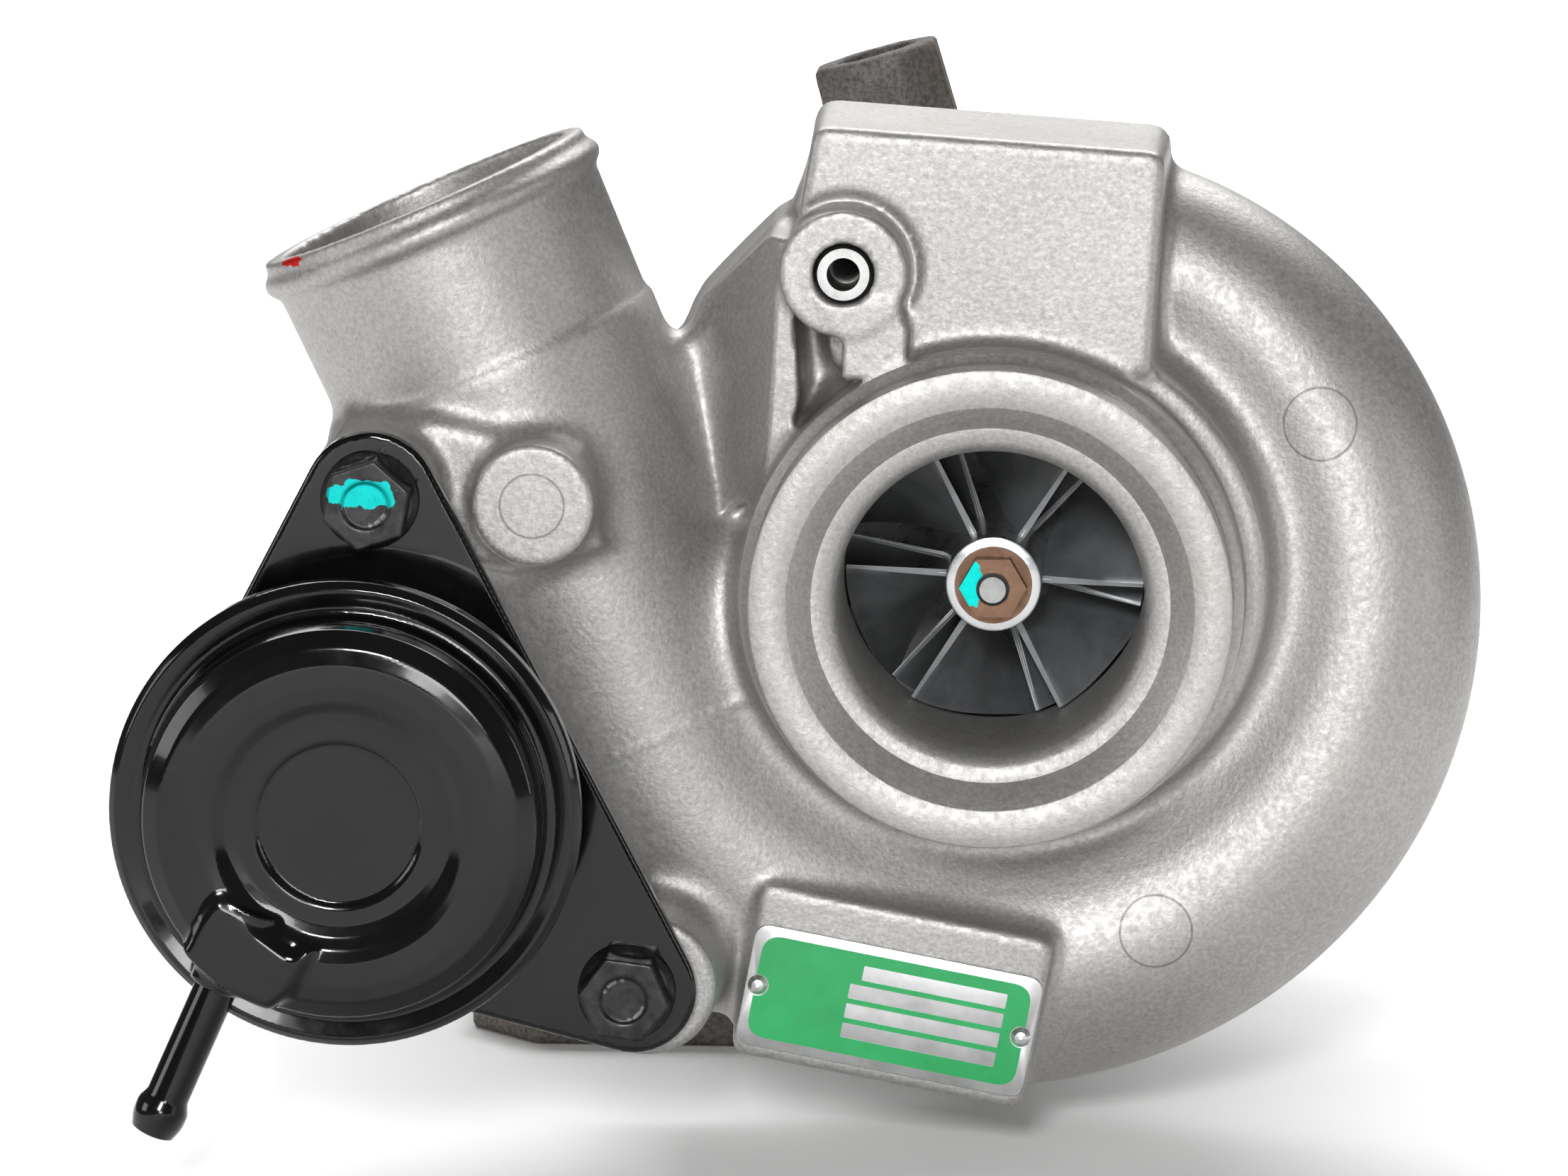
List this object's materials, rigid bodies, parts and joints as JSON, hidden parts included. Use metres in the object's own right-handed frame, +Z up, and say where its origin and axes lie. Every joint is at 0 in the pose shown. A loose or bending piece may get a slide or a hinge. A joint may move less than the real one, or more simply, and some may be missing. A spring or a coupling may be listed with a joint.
{
  "type": "turbocharger",
  "caption": "Car engine turbocharger: scroll compressor on a bearing housing and a turbine, with a canister that opens the wastegate.",
  "frame": {"origin": "on the rotor axis, where the compressor inlet's straight bore starts, 6 mm behind the inlet face", "axes": "+Y along the rotor from the compressor to the turbine, +Z up with the manifold flange facing down, +X to the right seen from the inlet"},
  "size_m": [0.204, 0.2072, 0.1665],
  "materials": {
    "cast_aluminium": "bead-blasted casting",
    "machined_aluminium": "machined",
    "cast_iron": "rough casting",
    "heat_iron": "rough casting, heat-stained",
    "black_paint": "gloss black",
    "black_steel": "black oxide",
    "bronze": "dull bronze",
    "machined_steel": "ground",
    "spring_steel": "spring temper",
    "plated_steel": "zinc plated",
    "turbine_alloy": "cast nickel alloy",
    "rubber": "moulded",
    "plate_enamel": "enamelled aluminium",
    "rivet_aluminium": "bright"
  },
  "bodies": {
    "housings": {"compressor_housing": "cast_aluminium", "seal_plate": "machined_aluminium", "bearing_housing": "cast_iron", "turbine_housing": "heat_iron", "actuator_cap": "black_paint", "actuator_shell": "black_paint", "hose_nipple": "black_paint", "actuator_bracket": "black_paint", "bracket_bolts": "black_steel", "thrust_bearing": "bronze", "pressure_port_bush": "machined_steel", "compressor_piston_ring": "machined_steel", "turbine_piston_ring": "machined_steel", "spindle_bush": "machined_steel", "rod_guide": "machined_steel", "housing_snap_ring": "spring_steel", "seal_plate_snap_ring": "spring_steel", "bearing_snap_rings": "spring_steel", "actuator_spring": "spring_steel", "v_band_clamp": "plated_steel", "v_band_bolt": "plated_steel", "v_band_nut": "plated_steel", "oil_deflector": "plated_steel", "heat_shield": "plated_steel", "housing_o_ring": "rubber", "seal_plate_o_ring": "rubber", "diaphragm": "rubber", "data_plate": "plate_enamel", "drive_rivets": "rivet_aluminium"},
    "rotor": {"compressor_wheel": "machined_aluminium", "compressor_nut": "bronze", "rotor_shaft": "machined_steel", "oil_thrower": "machined_steel", "thrust_collar_front": "machined_steel", "thrust_collar_rear": "machined_steel", "turbine_wheel": "turbine_alloy"},
    "front_bearing": {"journal_bearing_front": "bronze"},
    "rear_bearing": {"journal_bearing_rear": "bronze"},
    "wastegate": {"wastegate_spindle": "turbine_alloy", "wastegate_arm": "turbine_alloy", "wastegate_valve": "turbine_alloy", "valve_washer": "turbine_alloy", "wastegate_lever": "plated_steel", "lever_pin": "machined_steel", "pin_clip": "spring_steel"},
    "rod": {"actuator_rod": "machined_steel", "piston_cup": "plated_steel", "piston_washer": "plated_steel", "rod_end": "plated_steel", "rod_lock_nut": "plated_steel"}
  },
  "joints": [
    {"name": "rotor_spin", "type": "hinge", "parent": "housings", "child": "rotor", "pos_m": [0, 0.08, 0], "axis": [0, 1, 0], "continuous": true},
    {"name": "front_bearing_spin", "type": "hinge", "parent": "housings", "child": "front_bearing", "pos_m": [0, 0.072, 0], "axis": [0, 1, 0], "continuous": true},
    {"name": "rear_bearing_spin", "type": "hinge", "parent": "housings", "child": "rear_bearing", "pos_m": [0, 0.089, 0], "axis": [0, 1, 0], "continuous": true},
    {"name": "rod_slide", "type": "slide", "parent": "housings", "child": "rod", "axis": [0, 1, 0], "range_m": [0, 0.012], "stiffness_N_per_m": 2500, "springref_m": -0.015, "deforming": ["actuator_spring", "diaphragm"]},
    {"name": "wastegate_swing", "type": "hinge", "parent": "housings", "child": "wastegate", "pos_m": [-0.04, 0.145, -0.04714], "axis": [-1, 0, 0], "range_deg": [0, 35]}
  ],
  "couplings": [
    {"joint": "wastegate_swing", "follows": "rod_slide", "rad_per_m": 50.79}
  ]
}
